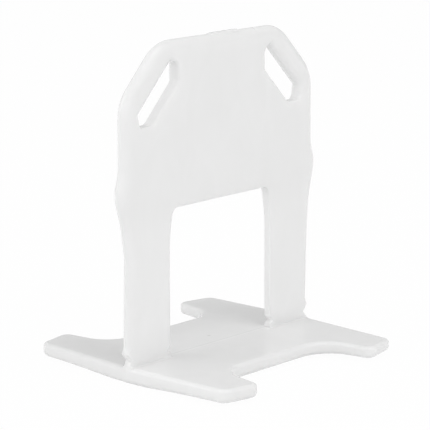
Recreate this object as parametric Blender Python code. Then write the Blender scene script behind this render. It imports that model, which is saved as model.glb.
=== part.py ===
"""Tile levelling clip: one injection-moulded piece, an upright plate on two thin legs
that stands across an H-shaped base.

Units are metres and +Z is up. The plate lies in the XZ plane, the base lies flat with
its underside on z = 0, and the origin is the centre of the base's underside."""
import math

import bmesh
import bpy
from mathutils import Vector

# Upright plate, seen from the front
HEIGHT = 0.0563                 # base underside to the plate's top edge
TOP_FALL = 0.00018              # the top edge falls by this much towards +X
PLATE_WIDTH = 0.0469            # across the plate's straight sides
PLATE_THICKNESS = 0.0025
TOP_EDGE_LENGTH = 0.02966       # straight top edge between the two corner cuts
CORNER_CUT_DROP = 0.00906       # how far the slanted corners come down
TOP_CORNER_RADIUS = 0.0075
SIDE_CORNER_RADIUS = 0.0075
RIM_REACH = 0.0020              # the outer rim is a full round that reaches in this far
FINE_EDGE_ROUND = 0.00030       # crisp edges of the window, slots and notches

# Shoulders, where the plate swells before it narrows to the legs
SHOULDER_SWELL = 0.00080        # on each side, beyond the plate's straight side
SHOULDER_HEIGHT = 0.03225       # height of the widest place
SHOULDER_START = 0.03515        # height at which the swell begins
SHOULDER_RUN = 0.00165          # the widest place reaches this far down
SHOULDER_SKEW = 0.00050         # a shoulder lies this much lower at +X, higher at -X
SHOULDER_RADIUS = 0.0035
SHOULDER_BLEND_RADIUS = 0.0120
WAIST_INSET = 0.00022           # where the narrowing slows down, inside the plate's side
WAIST_HEIGHT = 0.0259
WAIST_RADIUS = 0.0080

# Legs and the window that the wedge is driven through
LEG_SPAN = 0.0452               # across the outer sides of both legs
LEG_SKEW = 0.00020              # outer sides lean this far to -X at the foot, +X on top
LEG_OVERHANG = 0.00020          # a leg's side stands at most this far beyond the base's end
LEG_THICKNESS = 0.00150         # the width of joint that the clip leaves
LEG_TOP_HEIGHT = 0.0204         # below this the legs' outer sides are straight
LEG_TOP_SKEW = 0.0011           # waist and leg top: this much lower at +X, higher at -X
WALL_SWELL_START = 0.0240       # the wall is as thin as the legs up to this height
WALL_SWELL_END = 0.0320         # and as thick as the plate from this height
WINDOW_HEIGHT = 0.0283          # base underside to the window's top edge
WINDOW_WIDTH = 0.0250
WINDOW_TOP_WIDTH = 0.0237       # the window draws in a little towards its top edge
WINDOW_STRAIGHT_HEIGHT = 0.0219
WINDOW_CORNER_RADIUS = 0.0013
WINDOW_BLEND_RADIUS = 0.0200

# Break line: a notch on each side of each leg, just above the base
BREAK_HEIGHT = 0.0040
BREAK_DEPTH = 0.00090           # on the outer side of a leg
BREAK_UPPER_RUN = 0.00120       # height of the notch's upper flank
BREAK_LOWER_RUN = 0.00080
INNER_BREAK_DEPTH = 0.00075     # on the window's side
INNER_BREAK_UPPER_RUN = 0.00085
INNER_BREAK_LOWER_RUN = 0.00040
BREAK_LIP_RADIUS = 0.00040
BREAK_ROOT_RADIUS = 0.00020

# Slots behind the slanted corners
SLOT_WIDTH = 0.00357
SLOT_SKEW = 0.00012             # the +X slot is this much wider, the -X one narrower
SLOT_STRAP = 0.00440            # material between a slot and the slanted edge
SLOT_INNER_X = 0.0107           # the slot's ends are upright, at these distances from
SLOT_OUTER_X = 0.0197           # the plate's middle
SLOT_LOW_CUT = 0.0030           # the lower tip is cut level, this far above its point
SLOT_TIP_RADIUS = 0.00100
SLOT_CORNER_RADIUS = 0.00150
SLOT_LOW_RADIUS = 0.00070

# Base, seen from above
BASE_LENGTH = 0.0448            # across X under the legs
BASE_THICKNESS = 0.0029
BASE_EDGE_ROUND = 0.00055
END_TAPER = 0.00110             # each end draws in by this much out at the lobes
BASE_DEPTH = 0.0460             # along Y, between the lobes' inner corners
LOBE_WIDTH = 0.0073
LOBE_SLANT = 0.0016             # a lobe's outer corner stays this much short of that
LOBE_OUTER_RADIUS = 0.0020
LOBE_INNER_RADIUS = 0.0017
NOTCH_DEPTH_Y = 0.0131          # Y of the recess's floor between two lobes
NOTCH_FLARE = 0.0015            # the recess widens by this much towards its mouth
NOTCH_RADIUS = 0.0052
LAND_WIDTH = 0.0090             # flat strip along the middle of the underside
UNDERSIDE_RISE = 0.00066        # the underside is arched up by this much at the lobes
UNDERSIDE_SKEW = 0.00020        # the arch is this much higher at +X, lower at -X
FOOT_FILLET = 0.00035           # between a leg's faces and the base
PLATE_OFFSET = 0.00045          # the plate stands this far in front of the middle

# Stub of the moulding gate on the top edge
GATE_LENGTH = 0.0072
GATE_THICKNESS = 0.00110
GATE_HEIGHT = 0.00020
GATE_OFFSET = 0.0013            # along X from the plate's middle
GATE_EDGE_ROUND = 0.00012

# Joining allowances, hidden inside the finished solid or outside it
EMBED = 0.0012
RIM_EMBED = 0.0022              # the rounded rim's foot lies deeper, inside the base
FOOT_INSET = 0.00018            # the leg's foot stays inside the base's rounded edge
OVERSIZE = 0.0015               # the pierced blank stands this far out of the rim
RIM_FULLNESS = 1.012            # the rim's section is this much thicker than the blank

# Fineness of the arcs, the foot fillets, the swell of the plate and the arched underside
ARC_STEP = math.radians(11.0)
FLARE_SHARES = (-0.8, 0.2, 0.5, 1.0)
SWELL_STEPS = 6
ARCH_STEPS = 4

CLIP_NAME = "levelling_clip"


def rounded(points, radii):
    """Returns a closed outline with an arc of the given radius at each corner."""
    outline = []
    count = len(points)
    for index, point in enumerate(points):
        corner = Vector(point)
        to_last = Vector(points[index - 1]) - corner
        to_next = Vector(points[(index + 1) % count]) - corner
        turn = to_last.angle(to_next)
        if radii[index] <= 0.0 or turn > math.radians(179.9):
            outline.append(corner)
            continue
        limit = 0.49 * min(to_last.length, to_next.length)
        reach = min(radii[index] / math.tan(turn / 2), limit)
        radius = reach * math.tan(turn / 2)
        middle = (to_last.normalized() + to_next.normalized()).normalized()
        centre = corner + middle * (radius / math.sin(turn / 2))
        first = corner + to_last.normalized() * reach - centre
        last = corner + to_next.normalized() * reach - centre
        sweep = first.angle_signed(last)
        steps = max(1, math.ceil(abs(sweep) / ARC_STEP))
        start = math.atan2(first.y, first.x)
        for step in range(steps + 1):
            angle = start - sweep * step / steps
            outline.append(centre + radius * Vector((math.cos(angle), math.sin(angle))))
    return outline


def both_halves(half):
    """The closed outline of a shape whose +X and -X halves are given by one function."""
    corners = half(1.0) + [(-x, z, radius) for x, z, radius in reversed(half(-1.0))]
    return rounded([corner[:2] for corner in corners], [corner[2] for corner in corners])


def new_object(name, data, collection):
    made = bpy.data.objects.new(name, data)
    collection.objects.link(made)
    return made


def rounded_slab(name, outlines, thickness, edge_round, collection, fineness=2):
    """A flat outline with holes, extruded and rounded at its rim, as a welded mesh
    centred on the XY plane."""
    curve = bpy.data.curves.new(name, "CURVE")
    curve.dimensions = "2D"
    curve.fill_mode = "BOTH"
    curve.extrude = thickness / 2 - edge_round
    curve.bevel_depth = edge_round
    curve.bevel_resolution = fineness
    curve.offset = -edge_round
    for outline in outlines:
        spline = curve.splines.new("POLY")
        spline.points.add(len(outline) - 1)
        for point, place in zip(spline.points, outline):
            point.co = (place[0], place[1], 0.0, 1.0)
        spline.use_cyclic_u = True
    source = new_object(name + "_curve", curve, collection)
    view = bpy.context.evaluated_depsgraph_get()
    mesh = bpy.data.meshes.new_from_object(source.evaluated_get(view))
    bpy.data.objects.remove(source)
    work = bmesh.new()
    work.from_mesh(mesh)
    bmesh.ops.remove_doubles(work, verts=work.verts, dist=1e-6)
    bmesh.ops.recalc_face_normals(work, faces=work.faces)
    work.to_mesh(mesh)
    work.free()
    return new_object(name, mesh, collection)


def slice_and_move(target, axis, levels, move):
    """Cuts the mesh across one axis at each level, then moves every point."""
    work = bmesh.new()
    work.from_mesh(target.data)
    normal = Vector([1.0 if index == axis else 0.0 for index in range(3)])
    for level in levels:
        whole = work.verts[:] + work.edges[:] + work.faces[:]
        bmesh.ops.bisect_plane(work, geom=whole, dist=1e-7, plane_co=normal * level,
                               plane_no=normal)
    for vertex in work.verts:
        vertex.co = move(vertex.co)
    work.to_mesh(target.data)
    work.free()


def combine(target, other, operation):
    """Joins another solid to the target, or keeps only what both share. The other solid
    stays as a hidden guide."""
    step = target.modifiers.new(operation.lower() + " " + other.name, "BOOLEAN")
    step.operation = operation
    step.solver = "EXACT"
    step.object = other
    other.hide_render = True
    other.display_type = "WIRE"


def rim_half(sign):
    """One outer side of plate and leg, from the top corner down to the leg's foot, as
    distance from the middle, height and corner radius."""
    side = PLATE_WIDTH / 2
    widest = side + SHOULDER_SWELL
    leg = LEG_SPAN / 2
    shoulder = SHOULDER_HEIGHT - sign * SHOULDER_SKEW
    return [
        (TOP_EDGE_LENGTH / 2, HEIGHT - sign * TOP_FALL / 2, TOP_CORNER_RADIUS),
        (side, HEIGHT - CORNER_CUT_DROP, SIDE_CORNER_RADIUS),
        (side, SHOULDER_START - sign * SHOULDER_SKEW, SHOULDER_BLEND_RADIUS),
        (widest, shoulder, SHOULDER_RADIUS),
        (widest, shoulder - SHOULDER_RUN, SHOULDER_RADIUS),
        (side - WAIST_INSET, WAIST_HEIGHT - sign * LEG_TOP_SKEW, WAIST_RADIUS),
        (leg + sign * LEG_SKEW, LEG_TOP_HEIGHT - sign * LEG_TOP_SKEW, SHOULDER_BLEND_RADIUS),
        (leg - sign * LEG_SKEW, BASE_THICKNESS - RIM_EMBED, 0.0),
    ]


def pierced_half(sign):
    """One half of the blank that carries the window and the notches. Its outer side
    stands out of the rim everywhere but at the notch and below it."""
    inner = WINDOW_WIDTH / 2
    foot = BASE_THICKNESS - EMBED
    leg = LEG_SPAN / 2
    flush = min(leg, BASE_LENGTH / 2) - FOOT_INSET
    root = min(leg, BASE_LENGTH / 2 + LEG_OVERHANG) - sign * LEG_SKEW - BREAK_DEPTH
    outside = max(PLATE_WIDTH / 2 + SHOULDER_SWELL, leg + LEG_SKEW) + OVERSIZE
    flank_end = BREAK_HEIGHT + (outside - root) * BREAK_UPPER_RUN / BREAK_DEPTH
    return [
        (outside, HEIGHT + OVERSIZE, 0.0),
        (outside, flank_end, 0.0),
        (root, BREAK_HEIGHT, BREAK_ROOT_RADIUS),
        (flush, BREAK_HEIGHT - BREAK_LOWER_RUN, 0.0),
        (flush, foot, 0.0),
        (inner, foot, 0.0),
        (inner, BREAK_HEIGHT - INNER_BREAK_LOWER_RUN, 0.0),
        (inner + INNER_BREAK_DEPTH, BREAK_HEIGHT, BREAK_ROOT_RADIUS),
        (inner, BREAK_HEIGHT + INNER_BREAK_UPPER_RUN, BREAK_LIP_RADIUS),
        (inner, WINDOW_STRAIGHT_HEIGHT, WINDOW_BLEND_RADIUS),
        (WINDOW_TOP_WIDTH / 2, WINDOW_HEIGHT, WINDOW_CORNER_RADIUS),
    ]


def slot_outline(side):
    """A slot that lies along the slanted corner on one side. Its ends are upright and its
    lower tip is cut level."""
    upper = Vector((TOP_EDGE_LENGTH / 2, HEIGHT))
    lower = Vector((PLATE_WIDTH / 2, HEIGHT - CORNER_CUT_DROP))
    along = (upper - lower).normalized()
    inward = Vector((-along.y, along.x))

    def place(depth, x):
        start = upper + inward * depth
        return start + along * ((x - start.x) / along.x)

    full_depth = SLOT_STRAP + SLOT_WIDTH + side * SLOT_SKEW
    point = place(full_depth, SLOT_OUTER_X)
    corners = [
        place(SLOT_STRAP, SLOT_INNER_X),
        place(full_depth, SLOT_INNER_X),
        point + along * (SLOT_LOW_CUT / along.y),
        point + Vector((0.0, SLOT_LOW_CUT)),
        place(SLOT_STRAP, SLOT_OUTER_X),
    ]
    radii = [SLOT_TIP_RADIUS, SLOT_CORNER_RADIUS, SLOT_CORNER_RADIUS, SLOT_LOW_RADIUS,
             SLOT_CORNER_RADIUS]
    return [(side * point.x, point.y) for point in rounded(corners, radii)]


def base_outline():
    """The base from above: two bars of lobes joined by a broad middle."""
    tip_x = BASE_LENGTH / 2 - END_TAPER
    inner_x = tip_x - LOBE_WIDTH
    reach = BASE_DEPTH / 2
    quarter = [
        (BASE_LENGTH / 2, -PLATE_OFFSET, 0.0),
        (tip_x, reach - LOBE_SLANT, LOBE_OUTER_RADIUS),
        (inner_x, reach, LOBE_INNER_RADIUS),
        (inner_x - NOTCH_FLARE, NOTCH_DEPTH_Y, NOTCH_RADIUS),
    ]
    back_right = quarter[1:]
    back_left = [(-x, y, radius) for x, y, radius in reversed(back_right)]
    front_left = [(-x, -y, radius) for x, y, radius in back_right]
    front_right = [(x, -y, radius) for x, y, radius in reversed(back_right)]
    left_middle = (-BASE_LENGTH / 2, -PLATE_OFFSET, 0.0)
    corners = [quarter[0]] + back_right + back_left + [left_middle] + front_left + front_right
    return rounded([corner[:2] for corner in corners], [corner[2] for corner in corners])


def wall_at(height):
    """Thickness of the plate or leg at a height: slim legs, a swell up to the plate,
    and a small flare where the leg runs into the base."""
    above_base = height - BASE_THICKNESS
    if above_base < FOOT_FILLET:
        drop = FOOT_FILLET - max(above_base, 0.0)
        flare = FOOT_FILLET - math.sqrt(FOOT_FILLET ** 2 - drop ** 2)
        return LEG_THICKNESS + 2 * flare
    share = (height - WALL_SWELL_START) / (WALL_SWELL_END - WALL_SWELL_START)
    share = min(max(share, 0.0), 1.0)
    share = share * share * (3.0 - 2.0 * share)
    return LEG_THICKNESS + (PLATE_THICKNESS - LEG_THICKNESS) * share


def make_plate(collection):
    """The pierced blank, trimmed to the full-round rim."""
    holes = [slot_outline(1.0), slot_outline(-1.0)]
    blank = rounded_slab("plate", [both_halves(pierced_half)] + holes, PLATE_THICKNESS,
                         FINE_EDGE_ROUND, collection)
    rim = rounded_slab("rim", [both_halves(rim_half)], 2 * RIM_REACH, RIM_REACH, collection, 4)
    flare_levels = [BASE_THICKNESS + FOOT_FILLET * share for share in FLARE_SHARES]
    rise = WALL_SWELL_END - WALL_SWELL_START
    steps = range(SWELL_STEPS + 1)
    swell_levels = [WALL_SWELL_START + rise * step / SWELL_STEPS for step in steps]
    for solid, made_thick, fullness in ((blank, PLATE_THICKNESS, 1.0),
                                        (rim, 2 * RIM_REACH, RIM_FULLNESS)):
        def stand_up(place):
            across = -place.z * fullness * wall_at(place.y) / made_thick
            return Vector((place.x, across - PLATE_OFFSET, place.y))

        slice_and_move(solid, 1, flare_levels + swell_levels, stand_up)
    combine(blank, rim, "INTERSECT")
    return blank


def make_base(collection):
    base = rounded_slab("base", [base_outline()], BASE_THICKNESS, BASE_EDGE_ROUND,
                        collection)
    land = LAND_WIDTH / 2
    slope_run = BASE_DEPTH / 2 - LOBE_SLANT - land

    def settle(place):
        short = min(1.0, max(0.0, 1.0 - (abs(place.y) - land) / slope_run))
        rise = UNDERSIDE_RISE + UNDERSIDE_SKEW * 2 * place.x / BASE_LENGTH
        bottom = rise * (1.0 - short * short)
        share = place.z / BASE_THICKNESS + 0.5
        return Vector((place.x, place.y, bottom + (BASE_THICKNESS - bottom) * share))

    arch = [land + slope_run * step / ARCH_STEPS for step in range(ARCH_STEPS)]
    slice_and_move(base, 1, [-level for level in arch] + arch, settle)
    return base


def make_gate_stub(collection):
    mesh = bpy.data.meshes.new("gate stub")
    work = bmesh.new()
    bmesh.ops.create_cube(work, size=1.0)
    tall = EMBED + GATE_HEIGHT
    bmesh.ops.scale(work, vec=(GATE_LENGTH, GATE_THICKNESS, tall), verts=work.verts)
    middle = HEIGHT + GATE_HEIGHT - tall / 2
    place = (GATE_OFFSET, -PLATE_OFFSET, middle)
    bmesh.ops.translate(work, vec=place, verts=work.verts)
    bmesh.ops.bevel(work, geom=work.edges[:], offset=GATE_EDGE_ROUND, segments=2,
                    profile=0.5, affect="EDGES")
    work.to_mesh(mesh)
    work.free()
    return new_object("gate stub", mesh, collection)


def white_polypropylene():
    """Natural white polypropylene, smooth from a polished mould."""
    material = bpy.data.materials.new("white polypropylene")
    material.use_nodes = True
    shader = material.node_tree.nodes["Principled BSDF"]
    shader.inputs["Base Color"].default_value = (0.86, 0.86, 0.86, 1.0)
    shader.inputs["Roughness"].default_value = 0.32
    shader.inputs["Metallic"].default_value = 0.0
    return material


for leftover in list(bpy.data.objects):
    bpy.data.objects.remove(leftover)

parts = bpy.data.collections.new("tile levelling clip")
guides = bpy.data.collections.new("joined solids")
bpy.context.scene.collection.children.link(parts)
bpy.context.scene.collection.children.link(guides)

clip = make_base(parts)
clip.name = CLIP_NAME
combine(clip, make_plate(guides), "UNION")
combine(clip, make_gate_stub(guides), "UNION")
clip.data.materials.append(white_polypropylene())
clip.data.shade_smooth()
clip.data.set_sharp_from_angle(angle=math.radians(32.0))
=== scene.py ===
"""A white plastic tile levelling clip on a pale sweep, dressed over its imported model.

Lengths are in metres, +Z is up, X runs across the plate and -Y is the plate's front."""
import math

import bmesh
import bpy
import numpy as np
from mathutils import Matrix, Vector, noise
from mathutils.geometry import delaunay_2d_cdt


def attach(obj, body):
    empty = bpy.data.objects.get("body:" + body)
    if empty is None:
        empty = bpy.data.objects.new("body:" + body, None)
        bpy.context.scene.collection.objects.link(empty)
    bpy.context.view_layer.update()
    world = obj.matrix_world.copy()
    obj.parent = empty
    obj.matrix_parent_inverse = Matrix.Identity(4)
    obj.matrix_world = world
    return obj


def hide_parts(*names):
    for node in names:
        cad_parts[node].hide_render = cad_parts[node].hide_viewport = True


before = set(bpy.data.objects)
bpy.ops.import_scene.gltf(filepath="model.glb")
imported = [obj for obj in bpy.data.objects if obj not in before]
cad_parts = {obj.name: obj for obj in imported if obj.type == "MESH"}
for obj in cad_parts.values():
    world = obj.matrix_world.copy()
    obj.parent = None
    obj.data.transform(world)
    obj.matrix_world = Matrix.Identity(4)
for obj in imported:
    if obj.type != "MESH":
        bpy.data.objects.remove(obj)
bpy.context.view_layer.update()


# The upright plate and its two legs.
# Injection-moulded white polypropylene, 2.5 mm thick at the top and 1.5 mm at the legs,
# with a full round all along its outer rim and crisp edges round the wedge window.
plate_height = 0.0563
top_fall = 0.00018              # the top edge falls by this much towards +X
plate_width = 0.0469
plate_thickness = 0.0025
plate_forward = 0.00045         # the plate stands this far in front of the base's middle
top_edge = 0.02966
corner_drop = 0.00906           # each slanted corner comes down by this much
corner_round = 0.0075
shoulder_swell = 0.00080
shoulder_height = 0.03225
shoulder_run = 0.00165
shoulder_start = 0.03515
shoulder_skew = 0.00050         # a shoulder lies this much lower at +X, higher at -X
shoulder_round = 0.0035
swell_round = 0.0120            # where the side starts to swell out, above a shoulder
waist_width = 0.04646
waist_height = 0.0259
waist_round = 0.0080
leg_span = 0.0452
leg_skew = 0.00020              # outer sides lean this far to -X at the foot, +X on top
leg_thickness = 0.0015
leg_top = 0.0204
leg_top_skew = 0.0011           # waist and leg top: this much lower at +X, higher at -X
leg_top_round = 0.0120
leg_sink = 0.0012               # the legs go on this far down into the base
foot_inset = 0.00018            # and their feet end this far inside its end walls
swell_start = 0.0240            # between these heights the wall thickens to the plate's
swell_end = 0.0320
base_length = 0.0448
base_thickness = 0.0029
window_width = 0.0250
window_top_width = 0.0237
window_height = 0.0283
window_narrows = 0.0219         # from about this height its sides lean in
window_side_round = 0.0200
window_corner_round = 0.0013
window_margin = (0.0012, 0.0003)              # outline this near to it is the window's own
break_height = 0.0040
outer_break = (0.00120, 0.00090, 0.00080)     # upper flank, depth and lower flank
inner_break = (0.00085, 0.00075, 0.00040)
break_mouth_round = 0.0004
break_bottom_round = 0.0002
rim_round = 0.00200             # in the plate's plane, all along the outer rim
leg_rim_round = 0.00150
rim_fade = (0.0013, 0.0023)     # the full round sets in this far above the break line
crisp_edge = 0.00030
window_crown = (0.00160, 0.00022)             # the faces sink a little towards the window
crown_fade = (0.0009, 0.0035)                 # and start to, this far above the break line
foot_fillet = 0.00050
foot_steps = 10
slot_width = 0.00357
slot_skew = 0.00012             # the +X slot is this much wider, the -X one narrower
slot_strap = 0.00440            # width of the strap between a slot and the slanted corner
slot_inner_x = 0.0107
slot_outer_x = 0.0197
slot_low_cut = 0.0030           # the lower tip is cut level, this far above its point
slot_round = 0.0015
slot_top_round = 0.0010
slot_tip_round = 0.0007
slot_inner_edge = (0.00090, 0.00045)          # how far the rounding reaches, and how deep
slot_end_edge = (0.00050, 0.00050)
slot_strap_edge = (0.00155, 0.00125)
slot_edge_turn = (0.60, 0.95)   # an edge takes the long sides' rounding as it turns to them
slot_edge_smoothings = 9


def softened(corners, arc_step=math.radians(4.0), longest=0.0005):
    """Closed outline with an arc at each corner and no run longer than `longest`."""
    bends = []
    count = len(corners)
    for index, (x, z, radius) in enumerate(corners):
        corner = Vector((x, z))
        to_last = Vector(corners[index - 1][:2]) - corner
        to_next = Vector(corners[(index + 1) % count][:2]) - corner
        turn = to_last.angle(to_next)
        if radius <= 0.0 or turn > math.radians(179.9):
            bends.append([corner])
            continue
        reach = min(radius / math.tan(turn / 2), 0.49 * min(to_last.length, to_next.length))
        radius = reach * math.tan(turn / 2)
        middle = (to_last.normalized() + to_next.normalized()).normalized()
        centre = corner + middle * (radius / math.sin(turn / 2))
        first = corner + to_last.normalized() * reach - centre
        last = corner + to_next.normalized() * reach - centre
        sweep = first.angle_signed(last)
        steps = max(2, math.ceil(abs(sweep) / arc_step), math.ceil(abs(sweep) * radius / longest))
        start = math.atan2(first.y, first.x)
        angles = [start - sweep * step / steps for step in range(steps + 1)]
        bends.append([centre + radius * Vector((math.cos(a), math.sin(a))) for a in angles])
    outline = []
    for index, bend in enumerate(bends):
        outline += bend
        run = bends[(index + 1) % count][0] - bend[-1]
        pieces = max(1, math.ceil(run.length / longest))
        outline += [bend[-1] + run * share / pieces for share in range(1, pieces)]
    return outline


def both_halves(half):
    """The corners of the +X half, then those of the -X half, mirrored and in turn."""
    return half(1.0) + [(-x, z, radius) for x, z, radius in reversed(half(-1.0))]


def smooth_share(value, low, high):
    """0 up to `low`, 1 from `high` on, and a smooth rise between them."""
    share = min(max((value - low) / (high - low), 0.0), 1.0)
    return share * share * (3.0 - 2.0 * share)


def rim_normals(loop, material_inside):
    """Direction from each point of a loop into the material, longer at a corner."""
    area = sum(loop[i - 1].x * p.y - p.x * loop[i - 1].y for i, p in enumerate(loop))
    side = 1.0 if (area > 0.0) == material_inside else -1.0
    normals = []
    for index, point in enumerate(loop):
        back = (point - loop[index - 1]).normalized()
        ahead = (loop[(index + 1) % len(loop)] - point).normalized()
        across = Vector((-back.y - ahead.y, back.x + ahead.x)).normalized()
        lean = max(0.5, across.dot(Vector((-ahead.y, ahead.x))))
        normals.append(side * across / lean)
    return normals


def held(loop, spots):
    """Which of the spots a closed loop goes round."""
    inside = np.zeros(len(spots), dtype=bool)
    last = loop[-1]
    for here in loop:
        if here.y != last.y:
            crosses = (here.y > spots[:, 1]) != (last.y > spots[:, 1])
            edge = here.x + (spots[:, 1] - here.y) * (last.x - here.x) / (last.y - here.y)
            inside ^= crosses & (spots[:, 0] < edge)
        last = here
    return inside


def moulded_slab(name, loops, thickness, rim_steps=10, under=1.0, spacing=0.0009):
    """A flat moulding with holes. Each loop comes with its rounding at every point: how
    far it reaches inwards and how deep it goes. The lower side's is `under` times that."""
    work = bmesh.new()
    flats = {-1.0: [], 1.0: []}
    turns = [math.pi / 2 * step / rim_steps for step in range(rim_steps + 1)]
    for number, (loop, reach, depth) in enumerate(loops):
        normals = rim_normals(loop, number == 0)
        rings = []
        for side, order in ((-1.0, reversed(turns)), (1.0, turns)):
            share = under if side < 0.0 else 1.0
            for turn in order:
                inwards = share * (1.0 - math.cos(turn))
                downwards = share * (1.0 - math.sin(turn))
                ring = []
                for index, point in enumerate(loop):
                    into = point + normals[index] * reach[index] * inwards
                    rise = thickness / 2 - depth[index] * downwards
                    ring.append(work.verts.new((into.x, into.y, side * rise)))
                rings.append(ring)
        for low, high in zip(rings, rings[1:]):
            for index in range(len(loop)):
                work.faces.new((low[index - 1], low[index], high[index], high[index - 1]))
        flats[-1.0].append([Vector(vertex.co[:2]) for vertex in rings[0]])
        flats[1.0].append([Vector(vertex.co[:2]) for vertex in rings[-1]])
    # Each flat side is filled with triangles over a grid, which keeps its shading even.
    for side in (-1.0, 1.0):
        points = [point for flat in flats[side] for point in flat]
        edges = []
        for flat in flats[side]:
            first = len(edges)
            edges += [(first + i, first + (i + 1) % len(flat)) for i in range(len(flat))]
        low = Vector((min(p.x for p in points), min(p.y for p in points)))
        high = Vector((max(p.x for p in points), max(p.y for p in points)))
        columns = int((high.x - low.x) / spacing)
        rows = int((high.y - low.y) / spacing)
        points += [Vector((low.x + spacing * (i + 0.5), low.y + spacing * (j + 0.5)))
                   for i in range(columns) for j in range(rows)]
        filled, _, triangles, *_ = delaunay_2d_cdt(points, edges, [], 0, 1e-8)
        middles = np.array([sum((filled[corner] for corner in triangle), Vector((0.0, 0.0)))
                            for triangle in triangles]) / 3
        loops_round = sum(held(flat, middles).astype(int) for flat in flats[side])
        made = [work.verts.new((p.x, p.y, side * thickness / 2)) for p in filled]
        for triangle, times in zip(triangles, loops_round):
            if times == 1:      # inside the outline and outside every hole
                work.faces.new([made[corner] for corner in triangle])
    bmesh.ops.remove_doubles(work, verts=work.verts, dist=2e-7)
    bmesh.ops.dissolve_degenerate(work, edges=work.edges, dist=1e-7)
    loose = [vertex for vertex in work.verts if not vertex.link_faces]
    bmesh.ops.delete(work, geom=loose, context="VERTS")
    bmesh.ops.recalc_face_normals(work, faces=work.faces)
    mesh = bpy.data.meshes.new(name)
    work.to_mesh(mesh)
    work.free()
    solid = bpy.data.objects.new(name, mesh)
    bpy.context.scene.collection.objects.link(solid)
    return solid


def cut_and_move(solid, levels, move):
    """Cuts the flat moulding across its Y axis at each level, then moves every vertex."""
    work = bmesh.new()
    work.from_mesh(solid.data)
    along = Vector((0.0, 1.0, 0.0))
    for level in levels:
        whole = work.verts[:] + work.edges[:] + work.faces[:]
        bmesh.ops.bisect_plane(work, geom=whole, dist=1e-7, plane_co=along * level,
                               plane_no=along)
    for vertex in work.verts:
        vertex.co = move(vertex.co)
    work.to_mesh(solid.data)
    work.free()


half_plate = plate_width / 2
half_window = window_width / 2
leg_foot = base_thickness - leg_sink


def plate_half(sign):
    """Corners of one half of the plate's outline, each with its round."""
    widest = half_plate + shoulder_swell
    leg_low = leg_span / 2 - sign * leg_skew
    foot = base_length / 2 - foot_inset
    shoulder = shoulder_height - sign * shoulder_skew
    return [
        (top_edge / 2, plate_height - sign * top_fall / 2, corner_round),
        (half_plate, plate_height - corner_drop, corner_round),
        (half_plate, shoulder_start - sign * shoulder_skew, swell_round),
        (widest, shoulder, shoulder_round),
        (widest, shoulder - shoulder_run, shoulder_round),
        (waist_width / 2, waist_height - sign * leg_top_skew, waist_round),
        (leg_span / 2 + sign * leg_skew, leg_top - sign * leg_top_skew, leg_top_round),
        (leg_low, break_height + outer_break[0], break_mouth_round),
        (leg_low - outer_break[1], break_height, break_bottom_round),
        (foot, break_height - outer_break[2], 0.0),
        (foot, leg_foot, 0.0),
        (half_window, leg_foot, 0.0),
        (half_window, break_height - inner_break[2], 0.0),
        (half_window + inner_break[1], break_height, break_bottom_round),
        (half_window, break_height + inner_break[0], break_mouth_round),
        (half_window, window_narrows, window_side_round),
        (window_top_width / 2, window_height, window_corner_round),
    ]


plate_rim = softened(both_halves(plate_half))


def faded(height, fade, full):
    """Reach and depth of a rounding: crisp at the break line, and full above its fade."""
    crisp = (crisp_edge, crisp_edge * plate_thickness / leg_thickness)
    share = smooth_share(height, break_height + fade[0], break_height + fade[1])
    return tuple(low + (high - low) * share for low, high in zip(crisp, full))


def rim_rounding(point):
    """The outer rim is fully round, and the window's has a shallow crown."""
    if (point.y < window_height + window_margin[1]
            and abs(point.x) < half_window + window_margin[0]):
        return faded(point.y, crown_fade, window_crown)
    swell = smooth_share(point.y, swell_start, swell_end)
    full_round = leg_rim_round + (rim_round - leg_rim_round) * swell
    return faded(point.y, rim_fade, (full_round, plate_thickness / 2))


slant_top = Vector((top_edge / 2, plate_height))
slant_foot = Vector((half_plate, plate_height - corner_drop))
slant_along = (slant_top - slant_foot).normalized()
slant_out = Vector((slant_along.y, -slant_along.x))


def slot_corner(depth, x):
    """Point at this depth below the slanted corner's edge."""
    start = slant_top - slant_out * depth
    return start + slant_along * ((x - start.x) / slant_along.x)


plate_loops = [(plate_rim, *zip(*(rim_rounding(point) for point in plate_rim)))]
for sign in (1.0, -1.0):
    far_depth = slot_strap + slot_width + sign * slot_skew
    point_of_tip = slot_corner(far_depth, slot_outer_x)
    tip_start = point_of_tip + slant_along * (slot_low_cut / slant_along.y)
    slot_rim = softened([
        (*slot_corner(slot_strap, slot_inner_x), slot_top_round),
        (*slot_corner(far_depth, slot_inner_x), slot_round),
        (*tip_start, slot_round),
        (point_of_tip.x, point_of_tip.y + slot_low_cut, slot_tip_round),
        (*slot_corner(slot_strap, slot_outer_x), slot_round),
    ], longest=0.0003)
    rounding = []
    for into_plate in rim_normals(slot_rim, False):
        facing = into_plate.normalized().dot(slant_out)
        to_strap = smooth_share(facing, *slot_edge_turn)
        to_inner = smooth_share(-facing, *slot_edge_turn)
        rounding.append([end + (strap - end) * to_strap + (inner - end) * to_inner
                         for inner, end, strap in
                         zip(slot_inner_edge, slot_end_edge, slot_strap_edge)])
    for _ in range(slot_edge_smoothings):
        rounding = [[(a + 2 * b + c) / 4 for a, b, c in
                     zip(rounding[i - 1], here, rounding[(i + 1) % len(rounding)])]
                    for i, here in enumerate(rounding)]
    plate_loops.append(([Vector((sign * p.x, p.y)) for p in slot_rim], *zip(*rounding)))
plate = moulded_slab("plate", plate_loops, plate_thickness)


def wall_at(height):
    """The wall swells from the slim legs to the plate, and flares out at the foot."""
    above_base = height - base_thickness
    if above_base < foot_fillet:
        drop = foot_fillet - max(above_base, 0.0)
        return leg_thickness + 2 * (foot_fillet - math.sqrt(foot_fillet ** 2 - drop ** 2))
    swell = smooth_share(height, swell_start, swell_end)
    return leg_thickness + (plate_thickness - leg_thickness) * swell


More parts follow.
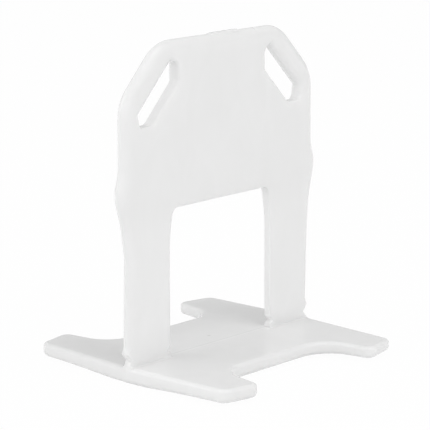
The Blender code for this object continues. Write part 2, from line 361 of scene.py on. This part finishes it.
foot_levels = [base_thickness + foot_fillet * (1 - math.sin(math.pi / 2 * step / foot_steps))
               for step in range(foot_steps + 1)]
cut_and_move(plate, foot_levels,
             lambda p: Vector((p.x, -p.z * wall_at(p.y) / plate_thickness - plate_forward, p.y)))


# The base that stays under the tiles.
# One moulding with the plate: four lobes round two open recesses, flat on top, with an
# underside that rises towards the lobes so that the mould lets go of it.
base_depth = 0.0460
end_taper = 0.00110             # the base is this much shorter at the lobes, at each end
lobe_width = 0.0073
lobe_slant = 0.0016
lobe_outer_round = 0.0020
lobe_inner_round = 0.0017
recess_floor = 0.0131
recess_lean = 0.0015            # a recess narrows by this much at each side, towards its floor
recess_round = 0.0052
base_edge_round = 0.00075
under_edge_share = 1.45         # the lower edges are rounded this much more
land = 0.0045                   # half the width of the flat strip that it stands on
underside_rise = 0.00066
underside_skew = 0.00020        # the arch is this much higher at +X, lower at -X
arch_steps = 12

lobe_x = base_length / 2 - end_taper
lobe_inner_x = lobe_x - lobe_width
back_right = [
    (lobe_x, base_depth / 2 - lobe_slant, lobe_outer_round),
    (lobe_inner_x, base_depth / 2, lobe_inner_round),
    (lobe_inner_x - recess_lean, recess_floor, recess_round),
]
base_rim = softened(
    [(base_length / 2, -plate_forward, 0.0)] + back_right
    + [(-x, y, radius) for x, y, radius in reversed(back_right)]
    + [(-base_length / 2, -plate_forward, 0.0)]
    + [(-x, -y, radius) for x, y, radius in back_right]
    + [(x, -y, radius) for x, y, radius in reversed(back_right)])
base_edge = [base_edge_round] * len(base_rim)
base = moulded_slab("base", [(base_rim, base_edge, base_edge)], base_thickness, rim_steps=8,
                    under=under_edge_share)
arch_run = base_depth / 2 - lobe_slant - land


def settle(point):
    """Keeps the top flat and lets the underside arch up beyond the land."""
    short = min(1.0, max(0.0, 1.0 - (abs(point.y) - land) / arch_run))
    rise = underside_rise + underside_skew * 2 * point.x / base_length
    bottom = rise * (1.0 - short * short)
    share = point.z / base_thickness + 0.5
    return Vector((point.x, point.y, bottom + (base_thickness - bottom) * share))


arch_levels = [land + arch_run * step / arch_steps for step in range(arch_steps)]
cut_and_move(base, [-level for level in arch_levels] + arch_levels, settle)


# The stub of the moulding gate on the plate's top edge.
# Where the runner was cut away after moulding it leaves a low, slightly torn ridge.
gate_length = 0.0072
gate_width = 0.0011
gate_height = 0.00020
gate_x = 0.0013
gate_sink = 0.0012              # its foot lies this deep in the plate
gate_rim_sink = 0.00006         # and its rim runs out this far below the top edge
gate_tear = 0.35                # the ridge's height varies by up to about this share
gate_mesh = bpy.data.meshes.new("gate_stub")
gate_work = bmesh.new()
bmesh.ops.create_grid(gate_work, x_segments=44, y_segments=8, size=0.5)
skirt = bmesh.ops.extrude_face_region(gate_work, geom=gate_work.faces[:])
lifted = {item for item in skirt["geom"] if isinstance(item, bmesh.types.BMVert)}
for vertex in gate_work.verts:
    x, y = vertex.co.x, vertex.co.y
    height = plate_height - gate_sink
    if vertex in lifted:
        ends = max(0.0, 1.0 - abs(2 * x) ** 8) ** 0.5
        sides = max(0.0, 1.0 - abs(2 * y) ** 4) ** 0.5
        torn = 1.0 + gate_tear * noise.noise(Vector((x * 9.0, y * 3.0, 4.1)))
        height = plate_height + gate_height * (ends * sides * torn) - gate_rim_sink
    vertex.co = (gate_x + x * gate_length, y * gate_width - plate_forward, height)
bmesh.ops.recalc_face_normals(gate_work, faces=gate_work.faces)
gate_work.to_mesh(gate_mesh)
gate_work.free()
gate_stub = bpy.data.objects.new("gate_stub", gate_mesh)
bpy.context.scene.collection.objects.link(gate_stub)


# The clip as it leaves the mould.
# Plate, base and gate stub are one piece of polypropylene. The halves of the mould meet
# in the plate's middle plane and leave a fine raised line on every surface that it cuts.
parting_half_width = 0.00009
parting_lift = 0.000015
nick_x = 0.00866                # a small dent in the plate's top edge
nick_half_width = 0.00026
nick_depth = 0.00014
nick_fade = (0.0012, 0.0002)    # it fades out between these depths below the top
speck_place = (0.0014, 0.0031, base_thickness)    # a small dark spot on the base's top

for other in (plate, gate_stub):
    union = base.modifiers.new("one_moulding", "BOOLEAN")
    union.operation = "UNION"
    union.solver = "EXACT"
    union.object = other
ready = bpy.context.evaluated_depsgraph_get()
clip_mesh = bpy.data.meshes.new_from_object(base.evaluated_get(ready))
for solid in (plate, base, gate_stub):
    bpy.data.objects.remove(solid)
clip_work = bmesh.new()
clip_work.from_mesh(clip_mesh)

# Cuts for the parting line, and for the nick in the faces near the plate's top.
for offset in (-parting_half_width, 0.0, parting_half_width):
    whole = clip_work.verts[:] + clip_work.edges[:] + clip_work.faces[:]
    bmesh.ops.bisect_plane(clip_work, geom=whole, dist=1e-7, plane_no=(0, 1, 0),
                           plane_co=(0, offset - plate_forward, 0))
bmesh.ops.dissolve_degenerate(clip_work, edges=clip_work.edges, dist=2e-7)
for offset in (-1.0, -0.5, 0.0, 0.5, 1.0):
    top = [face for face in clip_work.faces if face.calc_center_median().z > plate_height - 0.002]
    outlines = dict.fromkeys(item for face in top for item in (*face.verts, *face.edges))
    bmesh.ops.bisect_plane(clip_work, geom=[*outlines, *top], dist=1e-7, plane_no=(1, 0, 0),
                           plane_co=(nick_x + offset * nick_half_width, 0, 0))
for vertex in clip_work.verts:
    dent = max(0.0, 1.0 - abs(vertex.co.x - nick_x) / nick_half_width)
    vertex.co.z -= nick_depth * dent * smooth_share(vertex.co.z, plate_height - nick_fade[0],
                                                    plate_height - nick_fade[1])
loose = [edge for edge in clip_work.edges if not edge.link_faces]
bmesh.ops.delete(clip_work, geom=loose, context="EDGES")
clip_work.normal_update()
for vertex in clip_work.verts:
    if abs(vertex.co.y + plate_forward) < 1e-6 and vertex.co.z > 0.0001:
        vertex.co += vertex.normal * parting_lift
bmesh.ops.triangulate(clip_work, faces=[f for f in clip_work.faces if len(f.verts) > 4])
clip_work.to_mesh(clip_mesh)
clip_work.free()
clip = bpy.data.objects.new("moulded_clip", clip_mesh)
bpy.context.scene.collection.objects.link(clip)

# Smooth all over, with creases at the crisp edges and beside the parting line where it
# runs down the base's end walls.
for polygon in clip_mesh.polygons:
    polygon.use_smooth = True
clip_mesh.set_sharp_from_angle(angle=math.radians(40.0))
for crease in clip_mesh.edges:
    ends = [clip_mesh.vertices[index].co for index in crease.vertices]
    aside = [abs(abs(end.y + plate_forward) - parting_half_width) for end in ends]
    upright = abs(ends[0].z - ends[1].z) > 0.0001
    if max(aside) < 1e-6 and upright and max(end.z for end in ends) < base_thickness:
        crease.use_edge_sharp = True
even = clip.modifiers.new("flats_stay_flat", "WEIGHTED_NORMAL")
even.keep_sharp = True
even.weight = 60


def white_polypropylene():
    """Natural white polypropylene off a polished mould: glossy, milky at thin edges, with
    faint clouding along the flow, fine handling marks and a slight waviness."""
    material = bpy.data.materials.new("white_polypropylene")
    material.use_nodes = True
    tree = material.node_tree
    shader = tree.nodes["Principled BSDF"]
    shader.inputs["IOR"].default_value = 1.49
    shader.inputs["Subsurface Weight"].default_value = 0.50
    shader.inputs["Subsurface Radius"].default_value = (1.0, 1.0, 1.0)
    shader.inputs["Subsurface Scale"].default_value = 0.0015
    place = tree.nodes.new("ShaderNodeTexCoord")

    def noise_along(stretch, scale, detail, distortion):
        mapping = tree.nodes.new("ShaderNodeMapping")
        mapping.inputs["Scale"].default_value = stretch
        pattern = tree.nodes.new("ShaderNodeTexNoise")
        pattern.inputs["Scale"].default_value = scale
        pattern.inputs["Detail"].default_value = detail
        pattern.inputs["Distortion"].default_value = distortion
        tree.links.new(place.outputs["Object"], mapping.inputs["Vector"])
        tree.links.new(mapping.outputs["Vector"], pattern.inputs["Vector"])
        return pattern.outputs["Fac"]

    def spread(pattern, low, high, from_value, to_value):
        span = tree.nodes.new("ShaderNodeMapRange")
        for socket, value in (("From Min", low), ("From Max", high), ("To Min", from_value),
                              ("To Max", to_value)):
            span.inputs[socket].default_value = value
        tree.links.new(pattern, span.inputs["Value"])
        return span.outputs["Result"]

    # Colour: clouding along the flow, and a small dark spot on the base's top.
    flow = noise_along((1.0, 1.0, 0.35), 160.0, 4.0, 1.4)
    clouding = tree.nodes.new("ShaderNodeValToRGB")
    clouding.color_ramp.elements[0].position = 0.34
    clouding.color_ramp.elements[0].color = (0.868, 0.868, 0.866, 1.0)
    clouding.color_ramp.elements[1].position = 0.66
    clouding.color_ramp.elements[1].color = (0.884, 0.884, 0.883, 1.0)
    tree.links.new(flow, clouding.inputs["Fac"])
    speck = tree.nodes.new("ShaderNodeVectorMath")
    speck.operation = "DISTANCE"
    speck.inputs[1].default_value = speck_place
    tree.links.new(place.outputs["Object"], speck.inputs[0])
    clean = tree.nodes.new("ShaderNodeMixRGB")
    clean.inputs["Color2"].default_value = (0.68, 0.68, 0.66, 1.0)
    tree.links.new(spread(speck.outputs["Value"], 0.00010, 0.00042, 0.75, 0.0),
                   clean.inputs["Fac"])
    tree.links.new(clouding.outputs["Color"], clean.inputs["Color1"])
    tree.links.new(clean.outputs["Color"], shader.inputs["Base Color"])

    # Polish: handling marks that dull it here and there.
    marks = noise_along((1.0, 9.0, 5.0), 260.0, 3.0, 0.4)
    tree.links.new(spread(marks, 0.35, 0.75, 0.015, 0.045), shader.inputs["Roughness"])

    # Surface: slow waves from shrinkage, and the mould's fine grain.
    waves = tree.nodes.new("ShaderNodeBump")
    waves.inputs["Strength"].default_value = 0.025
    waves.inputs["Distance"].default_value = 0.00010
    tree.links.new(noise_along((1.0, 1.0, 0.45), 230.0, 2.0, 0.9), waves.inputs["Height"])
    grain = tree.nodes.new("ShaderNodeBump")
    grain.inputs["Strength"].default_value = 0.06
    grain.inputs["Distance"].default_value = 0.000012
    tree.links.new(noise_along((1.0, 1.0, 1.0), 3200.0, 2.0, 0.0), grain.inputs["Height"])
    tree.links.new(waves.outputs["Normal"], grain.inputs["Normal"])
    tree.links.new(grain.outputs["Normal"], shader.inputs["Normal"])
    return material


clip_mesh.materials.clear()
clip_mesh.materials.append(white_polypropylene())
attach(clip, "root")
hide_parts("levelling_clip")


# The pale sweep that the clip stands on.
# A wide sheet of white card, lit so far that only a trace of the clip's shadow stays.
floor_reach = 3.0
floor_glow = 0.975              # this share of what the camera and reflections see is white
floor_mesh = bpy.data.meshes.new("floor")
floor_mesh.from_pydata([(-floor_reach, -floor_reach, 0), (floor_reach, -floor_reach, 0),
                        (floor_reach, floor_reach, 0), (-floor_reach, floor_reach, 0)],
                       [], [(0, 1, 2, 3)])
floor = bpy.data.objects.new("floor", floor_mesh)
bpy.context.scene.collection.objects.link(floor)
floor_material = bpy.data.materials.new("pale_floor")
floor_material.use_nodes = True
floor_tree = floor_material.node_tree
floor_tree.nodes.clear()
matt = floor_tree.nodes.new("ShaderNodeBsdfDiffuse")
matt.inputs["Color"].default_value = (0.90, 0.90, 0.90, 1.0)
glow = floor_tree.nodes.new("ShaderNodeEmission")
glow.inputs["Strength"].default_value = 1.0
seen = floor_tree.nodes.new("ShaderNodeLightPath")
seen_or_mirrored = floor_tree.nodes.new("ShaderNodeMath")
seen_or_mirrored.operation = "MAXIMUM"
glow_share = floor_tree.nodes.new("ShaderNodeMath")
glow_share.operation = "MULTIPLY"
glow_share.inputs[1].default_value = floor_glow
blend = floor_tree.nodes.new("ShaderNodeMixShader")
floor_out = floor_tree.nodes.new("ShaderNodeOutputMaterial")
floor_tree.links.new(seen.outputs["Is Camera Ray"], seen_or_mirrored.inputs[0])
floor_tree.links.new(seen.outputs["Is Glossy Ray"], seen_or_mirrored.inputs[1])
floor_tree.links.new(seen_or_mirrored.outputs[0], glow_share.inputs[0])
floor_tree.links.new(glow_share.outputs[0], blend.inputs["Fac"])
floor_tree.links.new(matt.outputs[0], blend.inputs[1])
floor_tree.links.new(glow.outputs[0], blend.inputs[2])
floor_tree.links.new(blend.outputs[0], floor_out.inputs["Surface"])
floor_mesh.materials.append(floor_material)


# The room round it.
# Even and pale, with a white backdrop behind the clip.
room_light = 0.61
room = bpy.data.worlds.new("pale_room")
bpy.context.scene.world = room
room.use_nodes = True
room_tree = room.node_tree
room_tree.nodes.clear()
pale = room_tree.nodes.new("ShaderNodeBackground")
pale.inputs["Color"].default_value = (1.0, 1.0, 1.0, 1.0)
pale.inputs["Strength"].default_value = room_light
white = room_tree.nodes.new("ShaderNodeBackground")
white.inputs["Color"].default_value = (1.0, 1.0, 1.0, 1.0)
white.inputs["Strength"].default_value = 1.0
room_seen = room_tree.nodes.new("ShaderNodeLightPath")
room_mix = room_tree.nodes.new("ShaderNodeMixShader")
room_out = room_tree.nodes.new("ShaderNodeOutputWorld")
room_tree.links.new(room_seen.outputs["Is Camera Ray"], room_mix.inputs["Fac"])
room_tree.links.new(pale.outputs[0], room_mix.inputs[1])
room_tree.links.new(white.outputs[0], room_mix.inputs[2])
room_tree.links.new(room_mix.outputs[0], room_out.inputs["Surface"])


# Soft studio lamps.
# Six softboxes close to the clip, and two broad panels farther off. An azimuth of 0 is the
# clip's front, and 90 its -X side.
lamp_aim = Vector((0.0, 0.0, 0.025))


def soft_lamp(name, azimuth, elevation, power, size=0.35, distance=0.6):
    """A square soft lamp at an angle round the clip, aimed at its middle."""
    data = bpy.data.lights.new(name, "AREA")
    data.shape = "SQUARE"
    data.size = size
    data.energy = power
    lamp = bpy.data.objects.new(name, data)
    turn, lift = math.radians(azimuth), math.radians(elevation)
    outwards = Vector((-math.sin(turn) * math.cos(lift), -math.cos(turn) * math.cos(lift),
                       math.sin(lift)))
    lamp.location = lamp_aim + outwards * distance
    lamp.rotation_euler = outwards.to_track_quat("Z", "Y").to_euler()
    bpy.context.scene.collection.objects.link(lamp)


soft_lamp("high_front_softbox", 0.0, 60.0, 0.66)
soft_lamp("low_front_softbox", 45.0, 8.0, 0.15)
soft_lamp("side_softbox", 90.0, 30.0, 0.27)
soft_lamp("back_softbox", 120.0, 30.0, 0.40)
soft_lamp("low_back_softbox", 135.0, 8.0, 0.14)
soft_lamp("right_softbox", 330.0, 30.0, 0.09)
soft_lamp("front_panel", 0.0, 18.0, 1.20, size=0.90, distance=1.2)
soft_lamp("back_panel", 120.0, 18.0, 0.40, size=0.90, distance=1.2)


# The camera.
# It looks at the clip from its front left, a little from above, as in the photograph.
camera_azimuth = math.radians(46.9987)
camera_elevation = math.radians(12.6252)
camera_roll = math.radians(-0.1437)
camera_distance = 0.40520
aim_aside = -0.00019993
aim_height = 0.02497786
sensor_width = 36.0             # in millimetres, as is the focal length
focal_pixels = 2385.0543
picture_pixels = 430.0
back = Vector((-math.sin(camera_azimuth) * math.cos(camera_elevation),
               -math.cos(camera_azimuth) * math.cos(camera_elevation),
               math.sin(camera_elevation)))
right = Vector((math.cos(camera_azimuth), -math.sin(camera_azimuth), 0.0))
up = back.cross(right)
aim = right * aim_aside + Vector((0.0, 0.0, aim_height))
level_right = right * math.cos(camera_roll) + up * math.sin(camera_roll)
level_up = up * math.cos(camera_roll) - right * math.sin(camera_roll)
camera_data = bpy.data.cameras.new("camera")
camera_data.sensor_width = sensor_width
camera_data.lens = focal_pixels * sensor_width / picture_pixels
camera_data.clip_start = 0.01
camera_data.clip_end = 20.0
camera = bpy.data.objects.new("camera", camera_data)
camera.matrix_world = (Matrix.Translation(aim + back * camera_distance)
                       @ Matrix((level_right, level_up, back)).transposed().to_4x4())
bpy.context.scene.collection.objects.link(camera)
bpy.context.scene.camera = camera
bpy.context.scene.view_settings.view_transform = "Standard"
